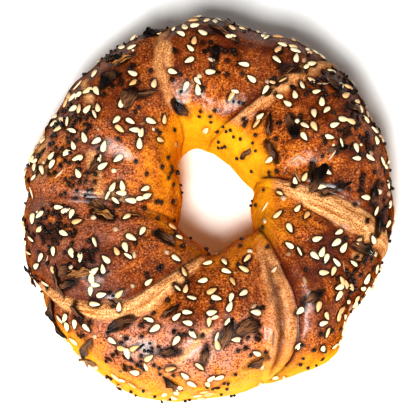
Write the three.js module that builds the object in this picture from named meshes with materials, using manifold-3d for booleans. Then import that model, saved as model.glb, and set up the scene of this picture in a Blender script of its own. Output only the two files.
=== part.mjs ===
// An everything bagel: one rope of dough wound six times round its ring, baked flat on a tray and
// covered with sesame seeds and dried onion, which are baked on and so belong to the same solid.
//
// Lengths are in millimetres and angles in degrees. +Z is up and the bagel stands on z = 0, with the
// origin under the middle of its outline. A place on the crust has two numbers: the turn, which is its
// angle round the ring from +X as seen from above, and the girth, its angle round the rope, which is
// 0 in the hole, 90 on the crest, 180 at the rim and 270 underneath.

import * as THREE from "three";
import { ParametricGeometry } from "three/addons/geometries/ParametricGeometry.js";
import { mergeVertices } from "three/addons/utils/BufferGeometryUtils.js";
import Module from "manifold-3d";

// ---- Driving dimensions ----

const HOLE_CENTRE = new THREE.Vector2(1.7, 1.8);
const EQUATOR_HEIGHT = 14; // where the rope is widest
const CREST_HEIGHT = 35;
const FLAT_SHARE = 1.35; // how early the underside meets the tray
const FLANK_POWER = 0.82; // under 1 makes the flanks steep
const CROWN_POWER = 0.92;
const BASE_POWER = 0.8;

// The folds between the wraps, in turn order. Each gives its turn in the hole, on the crest and at the
// rim, the radius of the hole and of the rim there and half way to the next fold, how far the crest
// stands above or below CREST_HEIGHT there and half way on, the most width of the strip of crust that
// has stretched open along the fold, which neighbour overlaps it: the next wrap (1), the last (-1) or
// neither (0), and the depth of the groove that parts the strip in two strands.
const fold = (hole, crest, rim, holeRadius, rimRadius, rise, strip, over, groove) => {
  return { hole, crest, rim, holeRadius, rimRadius, rise, strip, over, groove };
};
const FOLDS = [
  fold(21, -11, -18, [11.7, 12.2], [56.4, 55.2], [-1, 0.5], 9.5, 1, 0),
  fold(94, 59, 47, [16.8, 19.6], [58, 57], [-1.5, -1], 5, 1, 0),
  fold(120, 115, 100, [18.6, 10.2], [59.4, 57.4], [-1.2, 1], 3.6, 0, 0),
  fold(217, 189, 177, [12.8, 14.8], [59.4, 61], [-1, 0.8], 1.8, -1, 0),
  fold(270, 242, 207, [16.3, 14.2], [61.4, 65.4], [-1.6, 0], 7.5, -1, 0),
  fold(320, 299, 286, [14.2, 11], [59, 54], [-1.4, 0.6], 11, 1, 1.4),
];
const FOLD_DEPTH = { hole: 2.2, crest: 1.7, rim: 1.2 };
const STEEP_SIDE = 1.0; // how far the fold's wall reaches under an overlapping wrap
const GENTLE_SIDE = 3.6;
const STRIP_HUMP = 1.1; // how far the stretched strip swells between its two creases
const HUMP_FROM = 2.5; // half the width from which a strip swells fully
const GROOVE_SHARE = 0.3; // a groove's width beside its strip's
const GROOVE_FROM = 2; // half the widths of a strip at which its groove starts and is full
const GROOVE_FULL = 4.5;
const CLOSED_FOLD = 1.3; // the strip's width where the fold is shut
const OPEN_TO = 195; // the girth, past the rim, at which every strip has closed again
const OPEN_LATE = 1.5; // over 1 makes a strip widest outside the crest
const OPEN_EDGE = 1.2; // how quickly it widens

// The sine of the girth up to which the underside is smooth, and from which the crust has full relief.
const RELIEF_FROM = -0.6;
const RELIEF_FULL = 0.05;

// The rope's end makes a corner in the rim: how far it reaches out there and at its foot on the tray,
// and over how many degrees it fades on either side. The foot is full at this share of the way down,
// and starts and is full at these shares of the way out.
const TAIL = { turn: 308, before: 15, after: 9, reach: 5.5, foot: 2.5, low: 0.6, near: 0.3, far: 0.7 };

// Low lumps all over the crust: how many go round the ring, how many round the rope, and how high. The
// wall of the hole has none: they start and are full at these shares of the way out from the crest.
const LUMPS = [
  { round: 9, across: 2, height: 0.45 },
  { round: 14, across: -3, height: 0.35 },
  { round: 23, across: 5, height: 0.22 },
];
const LUMPS_FROM = -0.9;
const LUMPS_FULL = 0.2;

// The toppings: their size, the least room between a piece and any other, and how many there are.
const SESAME = { length: 3.3, width: 2.0, thickness: 0.95, spacing: 2.6, count: 104 };
const ONION = { length: 7.5, width: 2.8, thickness: 0.9, spacing: 6, count: 22 };
const SEED_BLUNT = 1.1; // the width of a seed's two ends, beside a plain oval's
const SEED_TIP = 0.7;
const FLAKE_TAPER = 0.45; // how much narrower a flake's ends are, as a share of its width
const FLAKE_BEND = 0.1; // how far they bend down, as a share of its length
const SUNK_SHARE = 0.3; // how much of a topping's thickness is below the crust
const TOPPED_GIRTH = { from: 25, to: 190 }; // the underside and the wall of the hole stay bare
const STRIP_SHARE = 0.25; // how much topping a stretched strip holds, beside the rest of the crust
const FULL_AMOUNT = 60; // a facet with this many square millimetres, times its handfuls, is always chosen
const LEAST_SIZE = 0.88; // a topping's size varies about 1
const MOST_SIZE = 1.12;
const STREAM_SEED = 20611; // the stream's first number, and its rule
const STREAM_FACTOR = 16807;
const STREAM_LIMIT = 2147483647;

// Where the toppings fell thick, seen from above, and how many times the usual amount lies there.
const SESAME_HANDFULS = [
  { x: -41, y: 13, radius: 13, times: 3.0 },
  { x: -25, y: 51, radius: 9, times: 2.2 },
  { x: 4, y: 45, radius: 13, times: 2.4 },
  { x: 25, y: 42, radius: 12, times: 3.2 },
  { x: 38, y: 27, radius: 10, times: 2.6 },
  { x: 49, y: 15, radius: 9, times: 2.8 },
  { x: 34, y: -18, radius: 10, times: 2.2 },
  { x: 45, y: -29, radius: 11, times: 2.6 },
  { x: 1, y: -36, radius: 10, times: 2.8 },
  { x: -31, y: -22, radius: 13, times: 2.0 },
  { x: -34, y: -43, radius: 10, times: 2.6 },
  { x: -12, y: -47, radius: 11, times: 2.2 },
];
const ONION_HANDFULS = [
  { x: 26, y: 21, radius: 12, times: 4.0 },
  { x: 46, y: 2, radius: 9, times: 3.5 },
  { x: 2, y: 43, radius: 8, times: 3.0 },
  { x: 34, y: 38, radius: 8, times: 3.0 },
  { x: -41, y: 12, radius: 14, times: 3.0 },
  { x: -34, y: 42, radius: 8, times: 3.0 },
  { x: -38, y: -32, radius: 10, times: 3.0 },
  { x: -6, y: -44, radius: 12, times: 3.0 },
];

// ---- Facets ----

const STRIP_COLUMNS = 4; // of the columns of a wrap
const WRAP_COLUMNS = 14;
const COLUMNS = FOLDS.length * WRAP_COLUMNS;
const ROWS = 26;
const SEED_SIDES = 5;
const SEED_RINGS = 4;
const FLAKE_SECTIONS = 4;
const MERGE_WITHIN = 1e-4; // corners nearer than this are one

const CRUST_COLOUR = 0x9a5424; // egg-washed and browned
const CRUST_ROUGHNESS = 0.45;

// ---- Small helpers ----

const { clamp, degToRad, lerp, smoothstep, euclideanModulo } = THREE.MathUtils;
const sine = (degrees) => Math.sin(degToRad(degrees));
const cosine = (degrees) => Math.cos(degToRad(degrees));
const signedPower = (value, power) => Math.sign(value) * Math.abs(value) ** power;

// The cubic through knots [place, value], in rising places, with a slope at each knot taken from its
// two neighbours.
function curveThrough(knots, place) {
  let k = 1;
  while (k < knots.length - 3 && place > knots[k + 1][0]) k += 1;
  const [before, from, to, after] = knots.slice(k - 1, k + 3);
  const span = to[0] - from[0];
  const slopeFrom = ((to[1] - before[1]) / (to[0] - before[0])) * span;
  const slopeTo = ((after[1] - from[1]) / (after[0] - from[0])) * span;
  const t = (place - from[0]) / span;
  return (
    (2 * t ** 3 - 3 * t ** 2 + 1) * from[1] +
    (t ** 3 - 2 * t ** 2 + t) * slopeFrom +
    (3 * t ** 2 - 2 * t ** 3) * to[1] +
    (t ** 3 - t ** 2) * slopeTo
  );
}

// A repeatable stream of numbers between 0 and 1.
function numberStream(seed) {
  let state = seed;
  return () => {
    state = (state * STREAM_FACTOR) % STREAM_LIMIT;
    return state / STREAM_LIMIT;
  };
}

// ---- The rope's course ----

// The fold with any whole number, counted on round the ring.
function foldAt(number) {
  const laps = Math.floor(number / FOLDS.length);
  const { hole, crest, rim, ...rest } = FOLDS[number - laps * FOLDS.length];
  const added = 360 * laps;
  return { hole: hole + added, crest: crest + added, rim: rim + added, ...rest };
}

// From the middle of the underside on, a fold turns into the one before: it enters the hole as that one.
const UNDERNEATH = 270;
const foldShown = (number, girth) => foldAt(girth < UNDERNEATH ? number : number - 1);

function foldTurn(number, girth) {
  const last = foldAt(number - 1);
  const fold = foldAt(number);
  const next = foldAt(number + 1);
  const knots = [
    [-180, next.rim],
    [0, fold.hole],
    [90, fold.crest],
    [180, fold.rim],
    [360, last.hole],
    [450, last.crest],
  ];
  return curveThrough(knots, girth);
}

// Knots of one size round the whole ring, a few past each end so that the curve closes.
function ringKnots(turnKey, sizeKey) {
  const knots = [];
  for (let number = -2; number < FOLDS.length + 2; number += 1) {
    const here = foldAt(number);
    const halfWay = (here[turnKey] + foldAt(number + 1)[turnKey]) / 2;
    knots.push([here[turnKey], here[sizeKey][0]], [halfWay, here[sizeKey][1]]);
  }
  return knots;
}

const holeKnots = ringKnots("hole", "holeRadius");
const rimKnots = ringKnots("rim", "rimRadius");
const riseKnots = ringKnots("crest", "rise");
const FIRST_KNOT = 4; // the knot of fold 0

function ringSize(knots, turn) {
  const start = knots[FIRST_KNOT][0];
  return curveThrough(knots, start + euclideanModulo(turn - start, 360));
}

// 1 at the rope's end, fading to 0 round the ring.
function tailShare(turn) {
  const away = euclideanModulo(turn - TAIL.turn + 180, 360) - 180;
  return Math.exp(-((away / (away < 0 ? TAIL.before : TAIL.after)) ** 2));
}

const rimRadius = (turn) => ringSize(rimKnots, turn) + TAIL.reach * tailShare(turn);

function middleAndHalf(turn) {
  const inner = ringSize(holeKnots, turn);
  const outer = rimRadius(turn);
  return [(inner + outer) / 2, (outer - inner) / 2];
}

// ---- The crust ----

// 1 over the upper side, falling to 0 on the flat underside.
const upperShare = (girth) => smoothstep(sine(girth), RELIEF_FROM, RELIEF_FULL);

// The strip opens from the hole, is widest a little outside the crest and closes past the rim.
function stripWidth(fold, girth) {
  const along = clamp(girth / OPEN_TO, 0, 1) ** OPEN_LATE;
  return lerp(CLOSED_FOLD, fold.strip, Math.sin(Math.PI * along) ** OPEN_EDGE);
}

function foldDepth(girth) {
  const flank = cosine(girth) > 0 ? FOLD_DEPTH.hole : FOLD_DEPTH.rim;
  const height = clamp(sine(girth), 0, 1);
  return lerp(flank, FOLD_DEPTH.crest, height) * upperShare(girth);
}

// How far the crust stands in or out at a distance past the middle of a fold: the strip lies low
// between two creases, and the wraps rise away from it, steeply on the side that overlaps.
function foldRelief(fold, girth, past) {
  const half = stripWidth(fold, girth) / 2;
  const depth = foldDepth(girth);
  if (Math.abs(past) <= half) {
    const hump = STRIP_HUMP * smoothstep(half, CLOSED_FOLD / 2, HUMP_FROM) * upperShare(girth);
    const groove = fold.groove * smoothstep(half, GROOVE_FROM, GROOVE_FULL);
    const across = past / half;
    return hump * (1 - across ** 2) - depth - groove * Math.exp(-((across / GROOVE_SHARE) ** 2));
  }
  const reach = Math.sign(past) === fold.over ? STEEP_SIDE : GENTLE_SIDE;
  return -depth * Math.exp((half - Math.abs(past)) / reach);
}

function lumpHeight(turn, girth) {
  const wave = ({ round, across, height }) => height * sine(round * turn + across * girth);
  const outside = smoothstep(-cosine(girth), LUMPS_FROM, LUMPS_FULL);
  return LUMPS.reduce((sum, lump) => sum + wave(lump), 0) * upperShare(girth) * outside;
}

// The crust's distance past one fold and short of the next, at a place between them. A wrap number
// counts folds, and its fraction is the share of the way to the next.
function foldGaps(wrap, girth) {
  const number = Math.floor(wrap);
  const from = foldTurn(number, girth);
  const to = foldTurn(number + 1, girth);
  const turn = lerp(from, to, wrap - number);
  const [middle, half] = middleAndHalf(turn);
  const radius = middle - half * cosine(girth);
  return { number, turn, past: degToRad(turn - from) * radius, short: degToRad(to - turn) * radius };
}

function crustAt(wrap, girth) {
  const { number, turn, past, short } = foldGaps(wrap, girth);
  const raised =
    foldRelief(foldShown(number, girth), girth, past) +
    foldRelief(foldShown(number + 1, girth), girth, -short) +
    lumpHeight(turn, girth);
  const [middle, half] = middleAndHalf(turn);
  const outwards = -cosine(girth);
  const upwards = sine(girth);
  const crown = CREST_HEIGHT + ringSize(riseKnots, turn) - EQUATOR_HEIGHT;
  const height =
    upwards > 0
      ? EQUATOR_HEIGHT + crown * upwards ** CROWN_POWER
      : EQUATOR_HEIGHT * (1 - FLAT_SHARE * Math.abs(upwards) ** BASE_POWER);
  const lowAndOut = smoothstep(-upwards, 0, TAIL.low) * smoothstep(outwards, TAIL.near, TAIL.far);
  const foot = TAIL.foot * tailShare(turn) * lowAndOut;
  const radius = middle + half * signedPower(outwards, FLANK_POWER) + raised * outwards + foot;
  return new THREE.Vector3(
    HOLE_CENTRE.x + radius * cosine(turn),
    HOLE_CENTRE.y + radius * sine(turn),
    Math.max(height + raised * upwards, 0),
  );
}

// Columns run round the ring, laid so that one falls on each edge of every strip, and rows round the
// rope.
function columnWrap(column, girth) {
  const number = Math.floor((column + STRIP_COLUMNS / 2) / WRAP_COLUMNS);
  const place = column - number * WRAP_COLUMNS;
  const turns = [number - 1, number, number + 1].map((n) => foldTurn(n, girth));
  const [middle, half] = middleAndHalf(turns[1]);
  const perDegree = degToRad(1) * (middle - half * cosine(girth));
  const lengthBefore = (turns[1] - turns[0]) * perDegree;
  const lengthAfter = (turns[2] - turns[1]) * perDegree;
  const halfHere = stripWidth(foldShown(number, girth), girth) / 2;
  const halfNext = stripWidth(foldShown(number + 1, girth), girth) / 2;
  const side = place / (STRIP_COLUMNS / 2);
  if (side < 0) return number + (side * halfHere) / lengthBefore;
  if (side <= 1) return number + (side * halfHere) / lengthAfter;
  const share = (place - STRIP_COLUMNS / 2) / (WRAP_COLUMNS - STRIP_COLUMNS);
  return number + lerp(halfHere / lengthAfter, 1 - halfNext / lengthAfter, share);
}

function corner(column, row) {
  const girth = (360 * row) / ROWS;
  return crustAt(columnWrap(column, girth), girth);
}

function doughShape() {
  const place = (u, v, target) => {
    const column = Math.round(u * COLUMNS);
    const row = ROWS - Math.round(v * ROWS); // backwards, so that the faces point out
    target.copy(corner(column, row));
  };
  return new ParametricGeometry(place, COLUMNS, ROWS);
}

// ---- The toppings ----

// A sesame seed on its flat side, blunt at one end, with its middle at the origin.
function sesameShape({ length, width, thickness }) {
  const seed = new THREE.SphereGeometry(1, SEED_SIDES, SEED_RINGS);
  const corners = seed.getAttribute("position");
  for (let i = 0; i < corners.count; i += 1) {
    const along = corners.getY(i);
    const slim = lerp(SEED_BLUNT, SEED_TIP, (along + 1) / 2);
    corners.setXYZ(i, along, -slim * corners.getX(i), corners.getZ(i));
  }
  return seed.scale(length / 2, width / 2, thickness / 2);
}

// A dried onion flake: a strip that narrows to its ends, which bend down to the crust.
function onionShape({ length, width, thickness }) {
  const flake = new THREE.BoxGeometry(length, width, thickness, FLAKE_SECTIONS, 1, 1);
  const corners = flake.getAttribute("position");
  for (let i = 0; i < corners.count; i += 1) {
    const along = corners.getX(i) / (length / 2);
    corners.setY(i, corners.getY(i) * (1 - FLAKE_TAPER * along ** 2));
    corners.setZ(i, corners.getZ(i) - FLAKE_BEND * length * along ** 2);
  }
  return flake;
}

// A point on the facet at a column and row, with the facet's outward normal and its area.
function onFacet(column, row) {
  const [c, r] = [Math.floor(column), Math.floor(row)];
  const corners = [corner(c, r), corner(c + 1, r), corner(c + 1, r + 1), corner(c, r + 1)];
  const diagonals = [corners[2].clone().sub(corners[0]), corners[3].clone().sub(corners[1])];
  const normal = diagonals[1].cross(diagonals[0]);
  const lower = corners[0].lerp(corners[1], column - c);
  const upper = corners[3].lerp(corners[2], column - c);
  return { point: lower.lerp(upper, row - r), area: normal.length() / 2, normal: normal.normalize() };
}

// How many times the usual amount of topping lies at a place.
function timesAt(point, handfuls) {
  const falls = handfuls.map(({ x, y, radius, times }) => {
    const away = Math.hypot(point.x - x, point.y - y) / radius;
    return (times - 1) * Math.exp(-(away ** 2));
  });
  return falls.reduce((sum, fall) => sum + fall, 1);
}

// Places for one kind of topping, at random, but never nearer than its spacing to any already taken.
function scatter({ spacing, count }, handfuls, taken, random) {
  const places = [];
  while (places.length < count) {
    const column = COLUMNS * random();
    const row = (ROWS / 360) * lerp(TOPPED_GIRTH.from, TOPPED_GIRTH.to, random());
    const lot = random();
    const heading = 360 * random();
    const size = lerp(LEAST_SIZE, MOST_SIZE, random());
    const { point, area, normal } = onFacet(column, row);
    const onStrip = (column + STRIP_COLUMNS / 2) % WRAP_COLUMNS < STRIP_COLUMNS;
    const amount = area * timesAt(point, handfuls) * (onStrip ? STRIP_SHARE : 1);
    const crowded = taken.some((other) => other.distanceTo(point) < spacing);
    if (lot * FULL_AMOUNT > amount || crowded) continue;
    taken.push(point);
    places.push({ point, normal, heading, size });
  }
  return places;
}

// Lays a topping on the crust at a place, turned to its heading and sunk in a little.
function laidOn(shape, { thickness }, { point, normal, heading, size }) {
  const up = new THREE.Vector3(0, 0, 1);
  const turned = new THREE.Quaternion().setFromUnitVectors(up, normal);
  turned.multiply(new THREE.Quaternion().setFromAxisAngle(up, degToRad(heading)));
  const centre = point.clone().addScaledVector(normal, thickness * (0.5 - SUNK_SHARE) * size);
  const scale = new THREE.Vector3(size, size, size);
  return shape.clone().applyMatrix4(new THREE.Matrix4().compose(centre, turned, scale));
}

// ---- One solid ----

const manifold = await Module();
manifold.setup();

function toSolid(geometry) {
  const bare = geometry.clone();
  bare.deleteAttribute("normal");
  bare.deleteAttribute("uv");
  const merged = mergeVertices(bare, MERGE_WITHIN);
  const vertProperties = new Float32Array(merged.getAttribute("position").array);
  const triVerts = new Uint32Array(merged.index.array);
  return new manifold.Manifold(new manifold.Mesh({ numProp: 3, vertProperties, triVerts }));
}

function toGeometry(solid) {
  const { vertProperties, triVerts } = solid.getMesh();
  const geometry = new THREE.BufferGeometry();
  geometry.setAttribute("position", new THREE.BufferAttribute(vertProperties, 3));
  geometry.setIndex(new THREE.BufferAttribute(triVerts, 1));
  geometry.computeVertexNormals();
  return geometry;
}

const random = numberStream(STREAM_SEED);
const taken = [];
const flakePlaces = scatter(ONION, ONION_HANDFULS, taken, random);
const seedPlaces = scatter(SESAME, SESAME_HANDFULS, taken, random);
const flakes = flakePlaces.map((place) => laidOn(onionShape(ONION), ONION, place));
const seeds = seedPlaces.map((place) => laidOn(sesameShape(SESAME), SESAME, place));

const whole = manifold.Manifold.union([doughShape(), ...flakes, ...seeds].map(toSolid));

const bakedCrust = new THREE.MeshStandardMaterial({ color: CRUST_COLOUR, roughness: CRUST_ROUGHNESS });
const bagel = new THREE.Mesh(toGeometry(whole), bakedCrust);
bagel.name = "bagel";

const group = new THREE.Group();
group.add(bagel);

export default group;
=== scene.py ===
"""An everything bagel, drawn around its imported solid.

One rope of egg dough is wound six times round its ring and baked flat on a tray. Between the wraps run
folds, where the crust stretched open late and stayed pale. Sesame, poppy, dried onion and dried garlic
are baked on. The code works in millimetres and degrees and turns them into metres when a mesh is made.

A place on the crust has two numbers. The wrap counts folds round the ring, and its fraction is the share
of the way to the next fold. The girth is the angle round the rope: 0 in the hole, 90 on the crest, 180
at the rim and 270 underneath. The turn is an angle round the ring from +X, as seen from above.
"""

import math
from functools import cache
from typing import NamedTuple

import bpy
import numpy as np
from mathutils import Matrix, Quaternion, Vector, kdtree, noise


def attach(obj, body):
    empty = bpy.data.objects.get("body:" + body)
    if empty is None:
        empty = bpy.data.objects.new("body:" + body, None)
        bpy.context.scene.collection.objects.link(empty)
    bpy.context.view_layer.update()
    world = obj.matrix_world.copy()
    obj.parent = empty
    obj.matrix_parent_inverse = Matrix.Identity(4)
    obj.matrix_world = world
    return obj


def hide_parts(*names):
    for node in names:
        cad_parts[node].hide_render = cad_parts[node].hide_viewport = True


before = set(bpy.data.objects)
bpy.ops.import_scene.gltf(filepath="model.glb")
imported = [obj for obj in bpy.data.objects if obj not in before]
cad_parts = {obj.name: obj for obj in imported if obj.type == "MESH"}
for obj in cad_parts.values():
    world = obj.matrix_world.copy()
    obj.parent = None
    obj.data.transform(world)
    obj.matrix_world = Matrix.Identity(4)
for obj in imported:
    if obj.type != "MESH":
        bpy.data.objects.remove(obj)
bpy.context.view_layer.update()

bl_info = {
    "name": "Everything Bagel",
    "version": (1, 0, 0),
    "blender": (4, 5, 0),
    "location": "View3D > Sidebar > Bagel",
    "description": "Bakes a hand-wound bagel and scatters its topping",
    "category": "Add Mesh",
}

MM = 0.001  # metres in a millimetre
NODE = "bagel"  # the solid that the crust and the topping stand for
BODY = "root"

# ---- The rope's sizes, as in the solid ----

HOLE_CENTRE = np.array([1.7, 1.8])
EQUATOR_HEIGHT = 14  # where the rope is widest
CREST_HEIGHT = 35
FLAT_SHARE = 1.35  # how early the underside meets the tray
FLANK_POWER = 0.82  # under 1 makes the flanks steep
CROWN_POWER = 0.92
BASE_POWER = 0.8
FOLD_DEPTH = {"hole": 2.2, "crest": 1.7, "rim": 1.2}
STEEP_SIDE = 1.0  # how far the fold's wall reaches under an overlapping wrap
GENTLE_SIDE = 3.6
STRIP_HUMP = 1.1  # how far the stretched strip swells between its two creases
HUMP_FROM = 2.5  # half the width from which a strip swells fully
GROOVE_SHARE = 0.3  # a groove's width beside its strip's
GROOVE_FROM = 2  # half the widths of a strip at which its groove starts and is full
GROOVE_FULL = 4.5
CLOSED_FOLD = 1.3  # the strip's width where the fold is shut
OPEN_TO = 195  # the girth, past the rim, at which every strip has closed again
OPEN_LATE = 1.5  # over 1 makes a strip widest outside the crest
OPEN_EDGE = 1.2  # how quickly it widens
RELIEF_FROM = -0.6  # how far the crust faces up where its relief starts and is full
RELIEF_FULL = 0.05
UNDERNEATH = 270
GIRTH_KNOTS = np.array([-180, 0, 90, 180, 360, 450])  # where the course of a fold is given


class Fold(NamedTuple):
    """One fold between two wraps."""

    hole: float  # its turn in the hole, on the crest and at the rim
    crest: float
    rim: float
    hole_radius: tuple  # of the hole there, and half way to the next fold
    rim_radius: tuple
    rise: tuple  # how far the crest stands above its usual height
    strip: float  # the most width of the stretched crust along it
    over: int  # which neighbour overlaps it: the next wrap 1, the last -1, neither 0
    groove: float  # the depth of the groove that parts the strip in two strands


FOLDS = (
    Fold(21, -11, -18, (11.7, 12.2), (56.4, 55.2), (-1, 0.5), 9.5, 1, 0),
    Fold(94, 59, 47, (16.8, 19.6), (58, 57), (-1.5, -1), 5, 1, 0),
    Fold(120, 115, 100, (18.6, 10.2), (59.4, 57.4), (-1.2, 1), 3.6, 0, 0),
    Fold(217, 189, 177, (12.8, 14.8), (59.4, 61), (-1, 0.8), 1.8, -1, 0),
    Fold(270, 242, 207, (16.3, 14.2), (61.4, 65.4), (-1.6, 0), 7.5, -1, 0),
    Fold(320, 299, 286, (14.2, 11), (59, 54), (-1.4, 0.6), 11, 1, 1.4),
)


class Tail(NamedTuple):
    """The rope's end, which makes a corner in the rim."""

    turn: float = 308
    before: float = 15  # degrees over which it fades on either side
    after: float = 9
    reach: float = 5.5  # how far it stands out at the rim and at its foot
    foot: float = 2.5
    low: float = 0.6  # the share of the way down where the foot is full
    near: float = 0.3  # the shares of the way out where it starts and is full
    far: float = 0.7


TAIL = Tail()


class Lump(NamedTuple):
    """Low waves in the crust: how many go round the ring and round the rope, and how high."""

    round: int
    across: int
    height: float


LUMPS = (Lump(9, 2, 0.45), Lump(14, -3, 0.35), Lump(23, 5, 0.22))
LUMPS_FROM = -0.9  # how far the crust faces outwards where they start and are full
LUMPS_FULL = 0.2

# The solid's grid: columns run round the ring, and one falls on each edge of every strip.
STRIP_COLUMNS = 4
WRAP_COLUMNS = 14
COLUMNS = len(FOLDS) * WRAP_COLUMNS
ROWS = 26

# ---- The topping's sizes ----


class Topping(NamedTuple):
    """One kind of topping: its size, the least room round a piece, and how many there are."""

    length: float
    width: float
    thickness: float
    spacing: float
    count: int
    sunk: float = 0.3  # the share of its thickness that is below the crust


# The first two are fused to the solid, and the others lie between them.
CAD_ONION = Topping(7.5, 2.8, 0.9, 6, 22, 0.1)
CAD_SESAME = Topping(3.3, 2.0, 0.95, 2.6, 104)
SESAME = CAD_SESAME._replace(spacing=2.0, count=275)
ONION = CAD_ONION._replace(spacing=3.2, count=10)
POPPY = Topping(1.15, 1.0, 0.95, 1.0, 340, 0.15)
GARLIC = Topping(2.0, 1.6, 1.1, 1.5, 70)
CRUMB = Topping(1.5, 1.2, 0.9, 0.8, 240, 0.2)

TOPPED_GIRTH = (25, 190)  # the underside and the wall of the hole stay bare
SPRINKLED_GIRTH = (48, 190)  # the same for the sesame that isn't in the solid
POPPY_GIRTH = (5, 188)
STRIP_SHARE = 0.25  # how much topping a stretched strip holds, beside the rest of the crust
POPPY_STRIP_SHARE = 0.5
FULL_AMOUNT = 60  # a facet with this many square millimetres, times its handfuls, is always chosen
GATHERED_AMOUNT = 800  # the same for poppy and crumbs, which lie nearly all in their handfuls
LEAST_SIZE = 0.88  # a piece's size varies about 1
MOST_SIZE = 1.12
SPARED_LOT = 0.5  # the least lot of an onion flake by the pale rim, which spares it from burning black
SPARED_FROM = 0.4  # how pale the rim is where every flake is spared
STREAM_SEED = 20611  # the stream's first number, and its rule
STREAM_FACTOR = 16807
STREAM_LIMIT = 2147483647


class Handful(NamedTuple):
    """A place, seen from above, where a topping fell thick."""

    x: float
    y: float
    radius: float
    times: float  # how many times the usual amount lies there


SESAME_HANDFULS = (
    Handful(-41, 13, 13, 3.0),
    Handful(-25, 51, 9, 2.2),
    Handful(4, 45, 13, 2.4),
    Handful(25, 42, 12, 3.2),
    Handful(38, 27, 10, 2.6),
    Handful(49, 15, 9, 2.8),
    Handful(34, -18, 10, 2.2),
    Handful(45, -29, 11, 2.6),
    Handful(1, -36, 10, 2.8),
    Handful(-31, -22, 13, 2.0),
    Handful(-34, -43, 10, 2.6),
    Handful(-12, -47, 11, 2.2),
)
ONION_HANDFULS = (
    Handful(26, 21, 12, 4.0),
    Handful(46, 2, 9, 3.5),
    Handful(2, 43, 8, 3.0),
    Handful(34, 38, 8, 3.0),
    Handful(-41, 12, 14, 3.0),
    Handful(-34, 42, 8, 3.0),
    Handful(-38, -32, 10, 3.0),
    Handful(-6, -44, 12, 3.0),
)
POPPY_HANDFULS = (
    Handful(-43, 23, 3.0, 60),
    Handful(-45, 13.5, 2.6, 70),
    Handful(-40, 1.5, 3.2, 60),
    Handful(-49, -8, 3.0, 60),
    Handful(-44, -16, 2.6, 60),
    Handful(-37, -20.5, 3.0, 60),
    Handful(-27, -37, 2.4, 30),
    Handful(-19, -50, 3.6, 45),
    Handful(-5, -45, 2.2, 25),
    Handful(4, 22, 7.0, 6),
    Handful(-12, 6, 5.0, 6),
    Handful(48, 16, 3.0, 40),
    Handful(42, -26, 2.6, 30),
    Handful(-30, 45, 3.0, 25),
    Handful(33, 34, 2.6, 25),
)
CRUMB_HANDFULS = (
    Handful(42, 20, 8, 20),
    Handful(49, 0, 5, 50),
    Handful(50, -10, 4.5, 45),
    Handful(42, 33, 6, 35),
    Handful(31, 37, 6, 25),
    Handful(1, 44, 5, 40),
    Handful(-28, 34, 6, 25),
    Handful(-46, 9, 5, 60),
    Handful(-42, 22, 4.5, 45),
    Handful(-47, -12, 6, 50),
    Handful(-38, -21, 4, 40),
    Handful(-36, -37, 5, 25),
    Handful(-23, -53, 5, 25),
    Handful(11, -45, 5, 15),
    Handful(42, -25, 6, 30),
)


class Flake(NamedTuple):
    """A large onion flake that lies at a place of its own, as seen from above."""

    x: float
    y: float
    heading: float
    size: float
    lot: float  # how little it burnt, from 0 to 1


FLAKES = (
    Flake(-25.1, 28.8, 60, 1.3, 0.6),
    Flake(18.3, 21.1, 88, 0.8, 0.5),
    Flake(25.5, 19.8, -75, 1.2, 0.3),
    Flake(52.0, -9.3, 80, 1.1, 0.0),
    Flake(33.6, 3.3, 62, 1.1, 0.15),
    Flake(19.0, 12.3, -62, 1.1, 0.7),
    Flake(5.2, -45.0, 75, 1.1, 0.35),
    Flake(11.3, -43.0, 20, 1.35, 0.78),
    Flake(-12.0, -38.0, 35, 0.75, 0.4),
    Flake(1.8, 43.0, 80, 0.95, 0.0),
    Flake(50.5, 0.0, 70, 1.1, 0.15),
    Flake(39.0, 12.0, 15, 0.7, 0.3),
    Flake(-32.3, -7.9, -25, 1.3, 0.95),
    Flake(-39.2, -38.0, -60, 0.8, 0.3),
    Flake(-43.2, -25.6, 10, 1.0, 0.45),
    Flake(-23.2, -8.5, 10, 0.55, 0.95),
    Flake(-35.4, 7.1, 60, 0.8, 0.6),
    Flake(31.1, -34.0, 30, 1.0, 0.5),
    Flake(-30.0, 44.0, -15, 0.8, 0.35),
    Flake(-12.3, -50.0, 0, 1.0, 0.45),
)

# Where a flake's place on the crust is looked for.
SEARCHED_COLUMNS = np.arange(0, COLUMNS, 0.25)
SEARCHED_GIRTHS = np.arange(20, 170, 1.5)


# ---- Settings ----


def linear(hex_colour):
    """An sRGB colour written as #RRGGBB, as the linear values that shaders take."""
    channels = [int(hex_colour[i : i + 2], 16) / 255 for i in (1, 3, 5)]
    return [c / 12.92 if c <= 0.04045 else ((c + 0.055) / 1.055) ** 2.4 for c in channels]


def colour_setting(name, description, hex_colour):
    """A colour that the user can change, with its default written as #RRGGBB."""
    return bpy.props.FloatVectorProperty(
        name=name,
        description=description,
        default=linear(hex_colour),
        size=3,
        min=0,
        max=1,
        subtype="COLOR",
    )


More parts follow.
